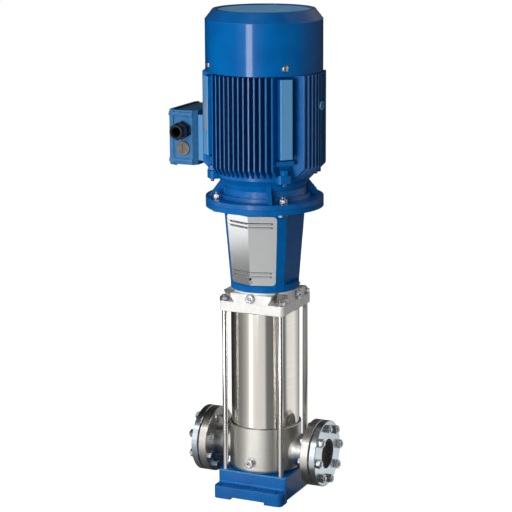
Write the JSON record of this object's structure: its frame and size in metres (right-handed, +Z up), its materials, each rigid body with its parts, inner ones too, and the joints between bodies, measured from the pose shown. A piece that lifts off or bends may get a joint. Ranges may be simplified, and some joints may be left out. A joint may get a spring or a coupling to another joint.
{
  "type": "vertical multistage pump",
  "caption": "Vertical multistage pump with in-line flanged nozzles, stainless sleeve on a blue base, motor lantern with coupling guards and a finned flange motor with terminal box.",
  "frame": {"origin": "shaft axis at the underside of the base, the centre of its foundation bolts", "axes": "+Z up the shaft, +X out of the discharge nozzle, -Y towards the drain plug"},
  "size_m": [0.495, 0.362, 1.469],
  "materials": {
    "blue_cast_base": "gloss blue paint over a rough casting",
    "blue_cast": "gloss blue paint over a casting",
    "blue_sheet": "smooth gloss blue paint over sheet",
    "body_steel": "satin stainless steel",
    "sleeve_steel": "polished stainless steel",
    "head_casting": "blasted pale stainless casting",
    "flange_steel": "turned stainless steel",
    "counterflange_steel": "zinc plated steel, turned",
    "zinc_bolt": "bright zinc plated steel",
    "steel_nut": "stainless steel",
    "rod_steel": "bright drawn stainless bar",
    "guard_steel": "satin stainless sheet",
    "stage_steel": "pressed stainless sheet",
    "shaft_steel": "ground steel",
    "iron_grey": "turned grey iron",
    "bearing_steel": "ground bearing steel",
    "laminations": "stacked electrical steel",
    "copper_winding": "varnished copper winding",
    "seal_rubber": "black rubber",
    "gasket_fibre": "dark fibre sheet",
    "seal_carbide": "dark hard seal ring",
    "gland_plastic": "black polyamide",
    "plug_plastic": "grey-brown polyamide",
    "fan_plastic": "black moulded plastic",
    "block_plastic": "brown moulded plastic"
  },
  "bodies": {
    "root": {"pump_base": "blue_cast_base", "pump_body": "body_steel", "plugs": "steel_nut", "discharge_flange": "flange_steel", "suction_flange": "flange_steel", "discharge_counterflange": "counterflange_steel", "suction_counterflange": "counterflange_steel", "flange_gaskets": "gasket_fibre", "flange_bolts": "zinc_bolt", "flange_nuts": "steel_nut", "outer_sleeve": "sleeve_steel", "sleeve_seals": "seal_rubber", "tie_rods": "rod_steel", "tie_rod_nuts": "steel_nut", "pump_head": "head_casting", "inlet_guide": "stage_steel", "diffuser_1": "stage_steel", "diffuser_2": "stage_steel", "diffuser_3": "stage_steel", "diffuser_4": "stage_steel", "top_chamber": "stage_steel", "shaft_bushes": "seal_carbide", "seal_housing": "head_casting", "seal_seat": "seal_carbide", "motor_lantern": "blue_cast", "coupling_guards": "guard_steel", "lantern_screws": "zinc_bolt", "drive_end_shield": "blue_cast", "motor_flange_bolts": "zinc_bolt", "motor_frame": "blue_cast", "shield_bolts": "blue_cast", "bearing_outer_rings": "bearing_steel", "stator_core": "laminations", "stator_windings": "copper_winding", "fan_end_shield": "blue_cast", "fan_cowl": "blue_sheet", "cowl_screws": "steel_nut", "terminal_box": "blue_cast", "terminal_lid": "blue_cast", "lid_screws": "steel_nut", "cable_gland": "gland_plastic", "gland_nut": "gland_plastic", "blanking_plug": "plug_plastic", "terminal_block": "block_plastic"},
    "rotor": {"pump_shaft": "shaft_steel", "impeller_1": "stage_steel", "impeller_2": "stage_steel", "impeller_3": "stage_steel", "impeller_4": "stage_steel", "impeller_spacers": "shaft_steel", "shaft_nut": "steel_nut", "seal_rotating_head": "shaft_steel", "coupling_shell_front": "iron_grey", "coupling_shell_rear": "iron_grey", "coupling_bolts": "zinc_bolt", "motor_shaft": "shaft_steel", "rotor_core": "laminations", "bearing_inner_rings": "bearing_steel", "fan": "fan_plastic"},
    "ball_cages": {"bearing_balls": "bearing_steel"}
  },
  "joints": [
    {"name": "rotor_spin", "type": "hinge", "parent": "root", "child": "rotor", "pos_m": [0, 0, 0], "axis": [0, 0, 1], "continuous": true},
    {"name": "ball_spin", "type": "hinge", "parent": "root", "child": "ball_cages", "pos_m": [0, 0, 0], "axis": [0, 0, 1], "continuous": true}
  ],
  "couplings": [
    {"joint": "ball_spin", "follows": "rotor_spin", "ratio": 0.38125}
  ]
}
